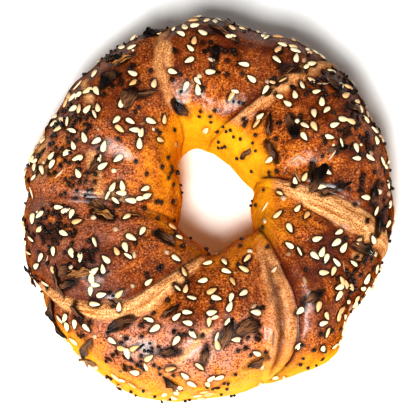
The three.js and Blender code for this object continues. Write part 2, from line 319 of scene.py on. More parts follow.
class BagelCrustSettings(bpy.types.PropertyGroup):
    """How finely the crust is made, and how it is baked."""

    fineness: bpy.props.IntProperty(
        name="Fineness",
        description="Columns of the crust's mesh for each column of the solid",
        default=6,
        min=1,
    )
    rows: bpy.props.IntProperty(
        name="Rows", description="Rows of the crust's mesh round the rope", default=196, min=24
    )
    blister: bpy.props.FloatProperty(
        name="Blisters", description="Height of the crust's fine bumps", default=0.25 * MM, unit="LENGTH"
    )
    yolk: colour_setting("Yolk", "Crust that hardly browned", "#F8B420")
    # A painted sheen: the pinkish-white gloss of the soft light on the wash, laid into the colour.
    bloom: colour_setting("Bloom", "Dull bloom on the sides of the crust", "#F2B096")
    gold: colour_setting("Gold", "Crust that has just begun to brown", "#E0880C")
    amber: colour_setting("Amber", "Crust half way to brown", "#C66E12")
    brown: colour_setting("Brown", "Crust on the crest", "#A04C0C")
    dark: colour_setting("Dark", "Crust at the rim, browned most", "#581C00")
    # Flecks and hollows are partly the grain's own tone, partly a painted highlight where it stands up and
    # painted shade where it lies low.
    fleck_and_highlight: colour_setting("Flecks", "Grain of the crust that stands up", "#DC9E62")
    hollow_and_shade: colour_setting("Hollows", "Grain of the crust that lies low", "#280A00")
    stretched: colour_setting("Stretched", "Crust that stretched open in the oven", "#FFC488")
    baked: colour_setting("Baked strands", "Strands in the stretched crust that browned", "#D4904C")
    pits: colour_setting("Pits", "Pores in the stretched crust", "#A8602C")
    # Painted shade in the bottom of a fold, in a groove and beside a strip's overlapped edge.
    crease: colour_setting("Crease", "Dark line in the bottom of a fold", "#42100A")
    # This colour serves the real stains under clusters and also the painted contact shadow round each piece
    # of topping.
    stain: colour_setting("Stain", "Crust round the topping", "#1C0802")


class BagelToppingSettings(bpy.types.PropertyGroup):
    """The colours of what is scattered on the bagel."""

    sesame: colour_setting("Sesame", "Hulled sesame seed", "#F8E1B6")
    toasted: colour_setting("Toasted sesame", "Sesame seed that browned", "#DCA566")
    poppy: colour_setting("Poppy", "Poppy seed", "#09080B")
    onion: colour_setting("Onion", "Onion flake where it is thin", "#805638")
    ribs: colour_setting("Onion ribs", "Veins along an onion flake", "#2A150A")
    burnt: colour_setting("Burnt onion", "Onion flake where it burnt", "#0E0604")
    dry_onion: colour_setting("Dry onion", "Onion flake that stayed pale", "#B27A40")
    crumb: colour_setting("Crumbs", "Crumb of onion that burnt least", "#402112")
    garlic: colour_setting("Garlic", "Dried garlic granule", "#E6D2B0")
    toasted_garlic: colour_setting("Toasted garlic", "Dried garlic granule that browned", "#8A5A34")


class BagelStageSettings(bpy.types.PropertyGroup):
    """The camera's place and the studio."""

    elevation: bpy.props.FloatProperty(
        name="Elevation",
        description="Angle of the camera over the table",
        default=math.radians(74),
        subtype="ANGLE",
    )
    distance: bpy.props.FloatProperty(
        name="Distance", description="From the camera to the bagel", default=0.6, unit="LENGTH"
    )
    view_width: bpy.props.FloatProperty(
        name="View width", description="Width of the picture at the bagel", default=0.13125, unit="LENGTH"
    )
    floor: colour_setting("Floor", "The studio's pale floor", "#F4F4F2")


# ---- Curves ----


def smooth(value, low, high):
    """0 up to low, 1 from high, and a smooth rise between them."""
    share = np.clip((value - low) / (high - low), 0, 1)
    return share * share * (3 - 2 * share)


def blend(low, high, share):
    """The value at a share of the way from low to high."""
    return low + (high - low) * share


def sine(degrees):
    return np.sin(np.radians(degrees))


def cosine(degrees):
    return np.cos(np.radians(degrees))


def curve_through(places, values, at):
    """The cubic through knots in rising places, with a slope at each from its two neighbours."""
    k = np.clip(np.searchsorted(places, at) - 1, 1, len(places) - 3)
    where = [places[k + step] for step in (-1, 0, 1, 2)]
    if values.ndim == 1:
        what = [values[k + step] for step in (-1, 0, 1, 2)]
    else:
        what = [np.take_along_axis(values, (k + step)[None], 0)[0] for step in (-1, 0, 1, 2)]
    span = where[2] - where[1]
    slope_from = (what[2] - what[0]) / (where[2] - where[0]) * span
    slope_to = (what[3] - what[1]) / (where[3] - where[1]) * span
    t = (at - where[1]) / span
    return (
        (2 * t**3 - 3 * t**2 + 1) * what[1]
        + (t**3 - 2 * t**2 + t) * slope_from
        + (3 * t**2 - 2 * t**3) * what[2]
        + (t**3 - t**2) * slope_to
    )


# ---- The rope's course ----


def of_folds(field, number):
    """One field of the folds with any whole numbers, counted on round the ring."""
    laps, index = np.divmod(number, len(FOLDS))
    values = np.array([getattr(fold, field) for fold in FOLDS])[index]
    return values + 360 * laps if field in ("hole", "crest", "rim") else values


def shown(number, girth):
    """Underneath, a fold turns into the one before: it enters the hole as that one."""
    return np.where(girth < UNDERNEATH, number, number - 1)


def fold_turn(number, girth):
    """The turn of each fold at each girth."""
    number, girth = np.broadcast_arrays(number, girth)
    values = np.stack(
        [
            of_folds("rim", number + 1),
            of_folds("hole", number),
            of_folds("crest", number),
            of_folds("rim", number),
            of_folds("hole", number - 1),
            of_folds("crest", number - 1),
        ]
    )
    return curve_through(GIRTH_KNOTS, values, girth)


@cache
def ring_knots(turn_field, size_field):
    """Knots of one size round the whole ring, a few past each end so that the curve closes."""
    turns = []
    sizes = []
    for number in range(-2, len(FOLDS) + 2):
        here = of_folds(turn_field, number)
        ahead = of_folds(turn_field, number + 1)
        turns += [here, (here + ahead) / 2]
        sizes += list(FOLDS[number % len(FOLDS)]._asdict()[size_field])
    return np.array(turns, float), np.array(sizes, float)


def ring_size(turn_field, size_field, turn):
    """One size of the rope at each turn, with no step anywhere round the ring."""
    turns, sizes = ring_knots(turn_field, size_field)
    start = of_folds(turn_field, 0)
    return curve_through(turns, sizes, start + (turn - start) % 360)


def tail_share(turn):
    """1 at the rope's end, fading to 0 round the ring."""
    away = (turn - TAIL.turn + 180) % 360 - 180
    return np.exp(-((away / np.where(away < 0, TAIL.before, TAIL.after)) ** 2))


def middle_and_half(turn):
    """The radius of the rope's middle, and half its width."""
    inner = ring_size("hole", "hole_radius", turn)
    outer = ring_size("rim", "rim_radius", turn) + TAIL.reach * tail_share(turn)
    return (inner + outer) / 2, (outer - inner) / 2


# ---- The crust's form ----


def upper_share(girth):
    """1 over the upper side, falling to 0 on the flat underside."""
    return smooth(sine(girth), RELIEF_FROM, RELIEF_FULL)


def strip_width(number, girth):
    """The strip opens from the hole, is widest a little outside the crest and closes past the rim."""
    along = np.clip(girth / OPEN_TO, 0, 1) ** OPEN_LATE
    return blend(CLOSED_FOLD, of_folds("strip", number), np.clip(sine(180 * along), 0, 1) ** OPEN_EDGE)


def fold_depth(girth):
    """How far a fold lies below the crust beside it."""
    flank = np.where(cosine(girth) > 0, FOLD_DEPTH["hole"], FOLD_DEPTH["rim"])
    height = np.clip(sine(girth), 0, 1)
    return blend(flank, FOLD_DEPTH["crest"], height) * upper_share(girth)


def fold_relief(number, girth, past):
    """How far the crust stands in or out at a distance past the middle of a fold."""
    half = strip_width(number, girth) / 2
    depth = fold_depth(girth)
    hump = STRIP_HUMP * smooth(half, CLOSED_FOLD / 2, HUMP_FROM) * upper_share(girth)
    groove = of_folds("groove", number) * smooth(half, GROOVE_FROM, GROOVE_FULL)
    across = past / half
    on_strip = hump * (1 - across**2) - depth - groove * np.exp(-((across / GROOVE_SHARE) ** 2))
    reach = np.where(np.sign(past) == of_folds("over", number), STEEP_SIDE, GENTLE_SIDE)
    beside = -depth * np.exp(np.minimum(half - abs(past), 0) / reach)
    return np.where(abs(past) <= half, on_strip, beside)


def lump_height(turn, girth):
    """How far the low lumps raise or sink the crust. The wall of the hole has none."""
    waves = sum(lump.height * sine(lump.round * turn + lump.across * girth) for lump in LUMPS)
    return waves * upper_share(girth) * smooth(-cosine(girth), LUMPS_FROM, LUMPS_FULL)


def fold_gaps(wrap, girth):
    """The fold before each place, its turn, and its distance past that fold and short of the next."""
    number = np.floor(wrap).astype(int)
    start = fold_turn(number, girth)
    end = fold_turn(number + 1, girth)
    turn = blend(start, end, wrap - number)
    middle, half = middle_and_half(turn)
    radius = middle - half * cosine(girth)
    return number, turn, np.radians(turn - start) * radius, np.radians(end - turn) * radius


def crust_at(wrap, girth):
    """The crust's points, in millimetres, at arrays of wraps and girths."""
    number, turn, past, short = fold_gaps(wrap, girth)
    raised = (
        fold_relief(shown(number, girth), girth, past)
        + fold_relief(shown(number + 1, girth), girth, -short)
        + lump_height(turn, girth)
    )
    middle, half = middle_and_half(turn)
    outwards = -cosine(girth)
    upwards = sine(girth)
    crown = CREST_HEIGHT + ring_size("crest", "rise", turn) - EQUATOR_HEIGHT
    above = EQUATOR_HEIGHT + crown * np.maximum(upwards, 0) ** CROWN_POWER
    below = EQUATOR_HEIGHT * (1 - FLAT_SHARE * abs(upwards) ** BASE_POWER)
    height = np.where(upwards > 0, above, below)
    foot = TAIL.foot * tail_share(turn)
    foot *= smooth(-upwards, 0, TAIL.low) * smooth(outwards, TAIL.near, TAIL.far)
    radius = middle + half * np.sign(outwards) * abs(outwards) ** FLANK_POWER + raised * outwards + foot
    return np.stack(
        [
            HOLE_CENTRE[0] + radius * cosine(turn),
            HOLE_CENTRE[1] + radius * sine(turn),
            np.maximum(height + raised * upwards, 0),
        ],
        -1,
    )


def column_wrap(column, girth):
    """The wrap of each column of the grid, one of which falls on each edge of every strip."""
    number = np.floor((column + STRIP_COLUMNS / 2) / WRAP_COLUMNS).astype(int)
    place = column - number * WRAP_COLUMNS
    turns = [fold_turn(number + step, girth) for step in (-1, 0, 1)]
    middle, half = middle_and_half(turns[1])
    per_degree = np.radians(1) * (middle - half * cosine(girth))
    before = (turns[1] - turns[0]) * per_degree
    after = (turns[2] - turns[1]) * per_degree
    half_here = strip_width(shown(number, girth), girth) / 2
    half_next = strip_width(shown(number + 1, girth), girth) / 2
    side = place / (STRIP_COLUMNS / 2)
    share = (place - STRIP_COLUMNS / 2) / (WRAP_COLUMNS - STRIP_COLUMNS)
    on_strip = side * half_here / np.where(side < 0, before, after)
    between = blend(half_here / after, 1 - half_next / after, share)
    return number + np.where(side <= 1, on_strip, between)


# ---- Where the topping lies ----


def number_stream(seed):
    """A repeatable stream of numbers between 0 and 1, the same one that the solid was scattered with."""
    state = seed
    while True:
        state = state * STREAM_FACTOR % STREAM_LIMIT
        yield state / STREAM_LIMIT


@cache
def solid_grid():
    """The corners of the solid's own facets, by row and column."""
    columns, rows = np.meshgrid(np.arange(COLUMNS + 1.0), np.arange(ROWS + 1.0))
    girths = 360 * rows / ROWS
    return crust_at(column_wrap(columns, girths), girths)


def on_facet(column, row):
    """A point on the solid's facet at a column and row, with its outward normal and its area."""
    grid = solid_grid()
    c, r = int(column), int(row)
    a, b, c_far, d = grid[r, c], grid[r, c + 1], grid[r + 1, c + 1], grid[r + 1, c]
    normal = np.cross(d - b, c_far - a)
    length = np.linalg.norm(normal)
    point = blend(blend(a, b, column - c), blend(d, c_far, column - c), row - r)
    return point, normal / length, length / 2


class Place(NamedTuple):
    """Where one piece of topping lies."""

    column: float
    girth: float
    point: tuple
    heading: float
    size: float
    lot: float  # its own random number, for its colour and shape


def times_at(point, handfuls):
    """How many times the usual amount of topping lies at a place."""
    times = 1
    for fall in handfuls:
        away = math.hypot(point[0] - fall.x, point[1] - fall.y) / fall.radius
        times += (fall.times - 1) * math.exp(-(away**2))
    return times


def scatter(
    topping, handfuls, taken, stream, full=FULL_AMOUNT, girths=TOPPED_GIRTH, strip_share=STRIP_SHARE
):
    """Places for one kind of topping, at random, but never nearer than its spacing to any taken."""
    places = []
    while len(places) < topping.count:
        column = COLUMNS * next(stream)
        girth = blend(girths[0], girths[1], next(stream))
        lot = next(stream)
        heading = 360 * next(stream)
        size = blend(LEAST_SIZE, MOST_SIZE, next(stream))
        point, _, area = on_facet(column, girth * ROWS / 360)
        on_strip = (column + STRIP_COLUMNS / 2) % WRAP_COLUMNS < STRIP_COLUMNS
        amount = area * times_at(point, handfuls) * (strip_share if on_strip else 1)
        if lot * full > amount or any(math.dist(other, point) < topping.spacing for other in taken):
            continue
        taken.append(tuple(point))
        places.append(Place(column, girth, tuple(point), heading, size, lot * full / amount))
    return places


def flake_place(flake):
    """Where a large flake lies: the place on the crust's upper side that is seen there from above."""
    columns, girths = np.meshgrid(SEARCHED_COLUMNS, SEARCHED_GIRTHS)
    points = crust_at(column_wrap(columns, girths), girths)
    away = np.hypot(points[..., 0] - flake.x, points[..., 1] - flake.y)
    nearest = np.unravel_index(away.argmin(), away.shape)
    return Place(columns[nearest], girths[nearest], tuple(points[nearest]), *flake[2:])


def spared(place):
    """The place of an onion flake, which burns less by the pale rim."""
    pale = pale_rim_share(turns_of(np.array([place.point])))[0]
    return place._replace(lot=max(place.lot, SPARED_LOT * smooth(pale, 0, SPARED_FROM)))


@cache
def topping_places():
    """Where all the topping lies, by kind. The solid's own pieces come first, in its order."""
    stream = number_stream(STREAM_SEED)
    taken = []
    onion = scatter(CAD_ONION, ONION_HANDFULS, taken, stream)
    sesame = scatter(CAD_SESAME, SESAME_HANDFULS, taken, stream)
    onion += [flake_place(flake) for flake in FLAKES]
    taken += [place.point for place in onion[CAD_ONION.count :]]
    sesame += scatter(SESAME, SESAME_HANDFULS, taken, stream, girths=SPRINKLED_GIRTH)
    onion += scatter(ONION, ONION_HANDFULS, taken, stream)
    garlic = scatter(GARLIC, SESAME_HANDFULS, taken, stream)
    poppy = scatter(
        POPPY, POPPY_HANDFULS, taken, stream, GATHERED_AMOUNT, POPPY_GIRTH, POPPY_STRIP_SHARE
    )
    crumbs = scatter(CRUMB, CRUMB_HANDFULS, taken, stream, GATHERED_AMOUNT)
    onion = [spared(place) for place in onion]
    return {"sesame": sesame, "onion": onion, "garlic": garlic, "poppy": poppy, "crumbs": crumbs}


# ---- Shared steps ----


def select_only(*pieces):
    """Selects these pieces alone, and makes the first of them active."""
    bpy.ops.object.select_all(action="DESELECT")
    for piece in pieces:
        piece.select_set(True)
    bpy.context.view_layer.objects.active = pieces[0]


def finish_piece(piece, name, material):
    """Names a piece, gives it its material and fixes it to the solid's body."""
    piece.name = name
    piece.data.name = name
    piece.data.materials.clear()
    piece.data.materials.append(material)
    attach(piece, BODY)
    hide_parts(NODE)


def add_node(tree, kind, inputs, output=0, **settings):
    """Adds a shader node and gives back an output of it. An input takes a value or another's output."""
    node = tree.nodes.new(kind)
    for name, value in settings.items():
        setattr(node, name, value)
    for name, value in inputs.items():
        if isinstance(value, bpy.types.NodeSocket):
            tree.links.new(value, node.inputs[name])
        else:
            node.inputs[name].default_value = value
    return node.outputs[output]


def new_material(name):
    """A material with only its Principled shader, and that shader."""
    material = bpy.data.materials.new(name)
    material.use_nodes = True
    return material, material.node_tree, material.node_tree.nodes["Principled BSDF"]


# ---- The crust ----


# How pale the strip of each fold stayed, in the folds' order.
STRIP_PALENESS = np.array([1.0, 0.7, 0.6, 0.4, 1.0, 0.6])
SHARP_EDGE = 0.3  # to either side of a strip's sharp edge, over which its colour ends
SOFT_SHARE = 0.8  # of half a strip's width, over which its colour fades inside its soft edge
SOFT_EDGE = 2.4  # and how far it fades outside it
OPENED_HALF = (0.75, 1.4)  # half the widths from which a fold is open, and fully so
SHUT_WIDTH = 0.5  # half the width of the painted shade in the crease where a fold is shut
SHUT_SHADE = 0.5
GROOVE_WIDTH = 0.8  # the width of the painted shade in a groove, beside the groove's own
GROOVE_SHADE = 0.8


class Shadow(NamedTuple):
    """A band of painted shadow along a strip's edge: its width, and how dark it makes the crust."""

    width: float
    outside: float  # beyond the sharp edge
    inside: float  # on the strip, along that edge
    soft: float  # along the soft edge


SHADOWS = (Shadow(0.4, 0.6, 0.6, 0.1), Shadow(2.2, 0.3, 0.15, 0), Shadow(6, 0.24, 0, 0))


def strip_and_crease_shade(wrap, girth):
    """How far each place is part of a stretched strip, and how much painted shade falls in a crease beside or
    along one, from 0 to 1. The edge that a neighbour overlaps is sharp, and the other fades into its wrap."""
    number, _, past, short = fold_gaps(wrap, girth)
    half_here = strip_width(shown(number, girth), girth) / 2
    half_next = strip_width(shown(number + 1, girth), girth) / 2
    nearer_next = short - half_next < past - half_here
    fold = shown(number + nearer_next, girth)
    past = np.where(nearer_next, -short, past)
    half = np.where(nearer_next, half_next, half_here)
    outside = abs(past) - half
    sharp = np.sign(past) == of_folds("over", fold)
    strip = 1 - np.where(
        sharp,
        smooth(outside, -SHARP_EDGE, SHARP_EDGE),
        smooth(outside, -SOFT_SHARE * half, SOFT_EDGE),
    )
    beside = np.zeros(outside.shape)
    for shadow in SHADOWS:
        dark = np.where(sharp, np.where(outside > 0, shadow.outside, shadow.inside), shadow.soft)
        beside += dark * np.exp(-((outside / shadow.width) ** 2))
    shut = SHUT_SHADE * np.exp(-((past / SHUT_WIDTH) ** 2))
    opened = smooth(half, *OPENED_HALF)
    grooved = (of_folds("groove", fold) > 0) * smooth(half, GROOVE_FROM, GROOVE_FULL)
    groove = GROOVE_SHADE * grooved * np.exp(-((past / half / GROOVE_SHARE / GROOVE_WIDTH) ** 2))
    crease = np.maximum(blend(shut, beside, opened), groove) * upper_share(girth)
    return strip * opened * STRIP_PALENESS[fold % len(FOLDS)], crease


# The shares of the crust's rows that reach these girths. Few rows lie on the flat underside.
ROW_SHARES = (0, 0.84, 0.89, 1)
ROW_GIRTHS = (0, 225, 315, 360)
GRID_DIGITS = 3  # columns and girths are rounded to these decimals, so that the grid's edges meet


def crust_columns_and_girths(piece):
    """Reads each corner of a flat grid as a column, across it, and a girth, up it."""
    corners = np.empty(len(piece.data.vertices) * 3)
    piece.data.vertices.foreach_get("co", corners)
    across, up, _ = corners.reshape(-1, 3).T
    column = (across + 0.5) * COLUMNS
    girth = np.interp(up + 0.5, ROW_SHARES, ROW_GIRTHS)
    return np.round(column, GRID_DIGITS), np.round(girth, GRID_DIGITS)


def set_attribute(mesh, name, values):
    """Gives each corner of a mesh its own number, which the materials can read."""
    attribute = mesh.attributes.new(name, "FLOAT", "POINT")
    attribute.data.foreach_set("value", values.astype(np.float32))


def get_attribute(mesh, name):
    """Reads these numbers back."""
    values = np.empty(len(mesh.vertices), np.float32)
    mesh.attributes[name].data.foreach_get("value", values)
    return values


def mesh_points(mesh):
    """The mesh's corners, in millimetres, and its normals there."""
    points = np.empty(len(mesh.vertices) * 3)
    mesh.vertices.foreach_get("co", points)
    normals = np.empty(len(mesh.vertices) * 3)
    mesh.vertex_normals.foreach_get("vector", normals)
    return points.reshape(-1, 3) / MM, normals.reshape(-1, 3)


class Wave(NamedTuple):
    """Random waves over the crust: their size, how strong they are, and a shift of their pattern."""

    size: float
    strength: float
    shift: float = 0


def waves(points, kinds):
    """Smooth random values over the crust, about 0, from waves of one or more kinds."""
    values = np.zeros(len(points))
    for wave in kinds:
        values += [
            wave.strength * noise.noise(Vector(point + wave.shift) / wave.size) for point in points
        ]
    return values


class Stretch(NamedTuple):
    """A short mark where the crust tore a little: its two ends, as seen from above, and its width."""

    x: float
    y: float
    to_x: float
    to_y: float
    width: float


STRETCHES = (
    Stretch(-35.5, 11, -34, 1, 3.4),
    Stretch(-39, 35, -36, 26, 3.6),
    Stretch(-53, 17, -52, 7, 7.0),
    Stretch(19, 31, 27, 34, 2.0),
    Stretch(0, -44, -10, -54, 2.4),
    Stretch(-14, 48, -13, 41, 4.0),
    Stretch(-36, -0.5, -24, -3.5, 2.6),
    Stretch(-27, -34, -36, -38, 2.0),
    Stretch(44, -22, 49, -14, 3.0),
)
STRETCH_RAGGED = (Wave(2.0, 0.9), Wave(4.5, 0.9))  # how far their outlines wander
STRETCH_EDGE = 0.8  # the share of a mark's width over which it fades
STRETCH_MOST = 0.8  # how pale it is in its middle
STRETCH_HEIGHT = (12, 20)  # where on the flank the marks start and are full


def stretch_share(points):
    """How much the crust is stretched by the short marks, which have ragged outlines."""
    ragged = waves(points, STRETCH_RAGGED)
    most = np.zeros(len(points))
    for mark in STRETCHES:
        start = np.array([mark.x, mark.y])
        along = np.array([mark.to_x, mark.to_y]) - start
        share = np.clip((points[:, :2] - start) @ along / (along @ along), 0, 1)
        away = np.linalg.norm(points[:, :2] - start - share[:, None] * along, axis=1)
        most = np.maximum(most, 1 - smooth(away + ragged, 0, STRETCH_EDGE * mark.width))
    return STRETCH_MOST * most * smooth(points[:, 2], *STRETCH_HEIGHT)


# The rim that faced the next bagel on the tray hardly browned, and nor did the hole on its far side.
PALE_RIM_TURN = 262
PALE_RIM_SPREAD = (30, 64)  # degrees to either side: fully pale, and no longer pale
PALE_RIM_HEIGHT = 18  # how much higher it starts to brown there
PALE_HOLE_TURN = 50
HOLE_BAKE = (0.05, 0.38)  # on its palest side, and on the side across from it
HOLE_EDGE = (0.64, 1.0)  # how high up the wall of the hole it starts and stops browning, from 0 to 1
CREST_BAKE = 0.66
RIM_BAKE = (0.06, 0.72)  # at the tray, and where it has browned
BROWNING_FROM = -4  # where the rest of the rim would start, under the tray, so none of it is wholly pale
BROWNING_HEIGHT = 27  # over which the rim turns from pale to brown
CREST_TO_RIM = (-0.35, 0.2)  # how far the crust faces outwards where the rim's bake starts and is full
PATCHED_BAKE = (0.1, 0.5)  # the bake from which patches show, and show fully
BLOTCHED_BAKE = (0.08, 0.5)  # the same for blotches
BLOTCHES = (Wave(10, 0.26), Wave(3.5, 0.14, 50))
WASH_EDGE = (0.35, 0.85)  # how far the crust faces up where the egg wash starts and is full


class BrownPatch(NamedTuple):
    """A place, seen from above, that the oven browned more or less than the rest."""

    x: float
    y: float
    radius: float
    change: float


BROWN_PATCHES = (
    BrownPatch(8, 60, 18, 0.32),
    BrownPatch(46, 34, 20, 0.17),
    BrownPatch(-36, 42, 16, 0.18),
    BrownPatch(-36, -14, 18, 0.26),
    BrownPatch(34, -22, 16, 0.14),
    BrownPatch(4, -36, 17, 0.2),
    BrownPatch(-24, -38, 12, 0.12),
    BrownPatch(-34, -41, 11, 0.25),
    BrownPatch(-36, 8, 12, 0.08),
    BrownPatch(-50, 10, 9, -0.25),
    BrownPatch(-19, -3, 10, -0.1),
    BrownPatch(20, -13, 9, -0.26),
    BrownPatch(1, -21, 9, -0.16),
)


class Bloom(NamedTuple):
    """A side of the bagel where a painted sheen lies on the crust."""

    turn: float
    spread: tuple  # degrees to either side: where it starts to fade, and is gone
    facing: tuple  # how far the crust faces outwards where it starts and is full, from -1 to 1
    most: float


PAINTED_SHEENS = (
    Bloom(262, (14, 54), (0.0, 0.3), 1.0),
    Bloom(185, (15, 50), (-0.6, 0.0), 0.35),
)
SHEEN_THINS = (0.6, 0.9)  # how far the crust faces outwards where it starts and ends thinning
SHEEN_THINNED = 0.6  # the share that is gone there


def turns_of(points):
    """The turn of each point, in degrees."""
    from_centre = points[:, :2] - HOLE_CENTRE
    return np.degrees(np.arctan2(from_centre[:, 1], from_centre[:, 0]))


def side_share(turn, middle, spread):
    """1 on the side of the bagel round a middle turn, fading to 0 on the rest."""
    return 1 - smooth(abs((turn - middle + 180) % 360 - 180), *spread)


def pale_rim_share(turn):
    """How much the rim there faced the next bagel on the tray."""
    return side_share(turn, PALE_RIM_TURN, PALE_RIM_SPREAD)


def painted_sheen_share(points, girth):
    """How much of the painted sheen lies on the crust. It thins towards the tray."""
    turn = turns_of(points)
    outwards = -cosine(girth)
    sheens = sum(
        bloom.most * side_share(turn, bloom.turn, bloom.spread) * smooth(outwards, *bloom.facing)
        for bloom in PAINTED_SHEENS
    )
    return np.minimum(sheens, 1) * (1 - SHEEN_THINNED * smooth(outwards, *SHEEN_THINS))


def bake_share(points, girth):
    """How brown the crust is: 0 pale yellow, 1 nearly black."""
    turn = turns_of(points)
    start = BROWNING_FROM + PALE_RIM_HEIGHT * pale_rim_share(turn)
    rim = blend(*RIM_BAKE, smooth(points[:, 2] - start, 0, BROWNING_HEIGHT))
    hole = blend(*HOLE_BAKE, (1 - cosine(turn - PALE_HOLE_TURN)) / 2)
    hole = blend(hole, CREST_BAKE, smooth(sine(girth), *HOLE_EDGE))
    bake = blend(hole, rim, smooth(-cosine(girth), *CREST_TO_RIM))
    for patch in BROWN_PATCHES:
        away = np.hypot(points[:, 0] - patch.x, points[:, 1] - patch.y) / patch.radius
        bake += patch.change * np.exp(-(away**2)) * smooth(bake, *PATCHED_BAKE)
    return np.clip(bake + waves(points, BLOTCHES) * smooth(bake, *BLOTCHED_BAKE), 0, 1)


BLISTERS = (Wave(3.5, 1), Wave(1.6, 0.5))
BLISTERED_HEIGHT = (0.5, 4)  # over the tray, where the bumps start and are full


def roughen(mesh, blister):
    """Raises fine bumps on the crust, a few millimetres across, and none on the flat underside."""
    points, normals = mesh_points(mesh)
    heights = waves(points, BLISTERS) * smooth(points[:, 2], *BLISTERED_HEIGHT) * blister / MM
    points += normals * heights[:, None]
    mesh.vertices.foreach_set("co", (points * MM).ravel())
    mesh.update()


def tree_of(points):
    """A tree that quickly finds the points near a place."""
    tree = kdtree.KDTree(len(points))
    for i, point in enumerate(points):
        tree.insert(point, i)
    tree.balance()
    return tree


STAINING = ("onion", "poppy", "crumbs")
STAIN_RADIUS = 1.8  # of the stain that one piece leaves
STAIN_REACH = 2.2  # of these radii, past which it isn't seen
STAINED_BY = (0.8, 4.0)  # how many pieces start to stain the crust, and stain it fully


def stain_share(points):
    """How much the staining topping darkens each place: not where one piece lies, and fully under many."""
    tree = tree_of([place.point for kind in STAINING for place in topping_places()[kind]])
    sums = [
        sum(
            math.exp(-((away / STAIN_RADIUS) ** 2))
            for _, _, away in tree.find_range(point, STAIN_REACH * STAIN_RADIUS)
        )
        for point in points
    ]
    return smooth(np.array(sums), *STAINED_BY)


CONTACT_SHADED = {"sesame": CAD_SESAME, "onion": CAD_ONION, "poppy": POPPY, "crumbs": CRUMB}
CONTACT_SHADE_REACH = 0.45  # of the painted contact shadow round a piece of topping


def contact_shade_share(points):
    """How much painted shade falls on the crust round any piece of topping: 1 at its edge and beneath it, 0
    well away.
    """
    tree = tree_of(points)
    nearness = np.zeros(len(points))
    for kind, topping in CONTACT_SHADED.items():
        long_half, short_half = topping.length / 2, topping.width / 2
        for place in topping_places()[kind]:
            to_piece = seat(place).inverted()
            for _, i, _ in tree.find_range(place.point, long_half + 2 * CONTACT_SHADE_REACH):
                at = to_piece @ Vector(points[i] * MM)
                outside = short_half * (math.hypot(at.x / long_half, at.y / short_half) - 1)
                nearness[i] = max(nearness[i], math.exp(-((max(outside, 0) / CONTACT_SHADE_REACH) ** 2)))
    return nearness


# How many strands go round the ring and round the rope: they are about 2 mm wide and 6 mm long.
STRANDS = (COLUMNS * 1.7, 16, 1)


